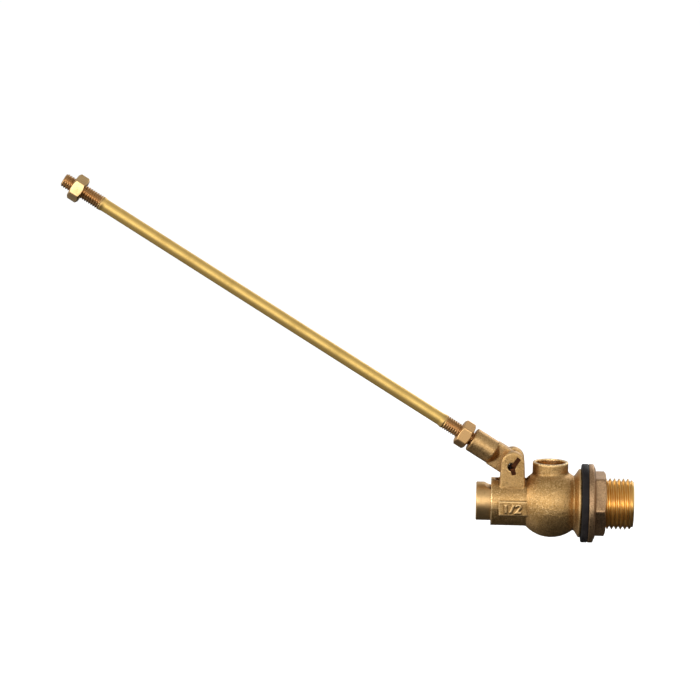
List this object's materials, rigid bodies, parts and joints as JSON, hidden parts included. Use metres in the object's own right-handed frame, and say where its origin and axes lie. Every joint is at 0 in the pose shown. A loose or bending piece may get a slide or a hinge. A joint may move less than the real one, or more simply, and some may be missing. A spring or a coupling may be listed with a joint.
{
  "type": "float valve",
  "caption": "Tank float valve: a lever with a threaded float rod works a piston in a cast body with a male inlet thread, a gasket, a locknut and an upright outlet.",
  "frame": {"origin": "centre of the inlet thread's open end, on the inlet axis", "axes": "+X out of the inlet along the inlet and piston axis, +Z out of the outlet boss; the float rod rises towards -X in the XZ plane. In service the valve is usually turned over, with the outlet downwards"},
  "size_m": [0.2359, 0.0322, 0.1475],
  "materials": {
    "cast_bronze": "sand cast, fine grain",
    "lever_bronze": "cast, tumbled smooth",
    "locknut_bronze": "cast, flats left rough",
    "machined_brass": "turned",
    "rod_brass": "drawn, bright",
    "pin_metal": "tarnished",
    "rubber": "moulded, matt",
    "fibre": "pressed fibre"
  },
  "bodies": {
    "valve_body": {"valve_body": "cast_bronze", "seat_nozzle": "machined_brass", "seat_gasket": "fibre", "pivot_split_pin": "pin_metal"},
    "lever": {"lever": "lever_bronze", "float_rod": "rod_brass"},
    "rod_locknut": {"rod_locknut": "rod_brass"},
    "float_nut": {"float_nut": "rod_brass"},
    "piston": {"piston": "machined_brass", "seat_washer": "rubber", "washer_cap": "machined_brass", "piston_o_ring": "rubber"},
    "inlet_gasket": {"inlet_gasket": "rubber"},
    "inlet_locknut": {"inlet_locknut": "locknut_bronze"}
  },
  "joints": [
    {"name": "lever_pivot", "type": "hinge", "parent": "valve_body", "child": "lever", "pos_m": [-0.0502, 0, 0.0156], "axis": [0, 1, 0], "range_deg": [-26, 4]},
    {"name": "piston_slide", "type": "slide", "parent": "valve_body", "child": "piston", "axis": [-1, 0, 0], "range_m": [-0.00563, 0.00088]},
    {"name": "locknut_turn", "type": "hinge", "parent": "inlet_gasket", "child": "inlet_locknut", "pos_m": [0, 0, 0], "axis": [1, 0, 0], "range_deg": [0, 2160]},
    {"name": "gasket_slide", "type": "slide", "parent": "valve_body", "child": "inlet_gasket", "axis": [1, 0, 0], "range_m": [0, 0.0109]},
    {"name": "rod_locknut_spin", "type": "hinge", "parent": "lever", "child": "rod_locknut", "pos_m": [-0.06962, 0, 0.02755], "axis": [-0.8517, 0, 0.524], "continuous": true},
    {"name": "float_nut_spin", "type": "hinge", "parent": "lever", "child": "float_nut", "pos_m": [-0.22864, 0, 0.12537], "axis": [-0.8517, 0, 0.524], "continuous": true}
  ],
  "couplings": [
    {"joint": "piston_slide", "follows": "lever_pivot", "m_per_rad": 0.012393},
    {"joint": "gasket_slide", "follows": "locknut_turn", "m_per_rad": 0.00028875}
  ]
}
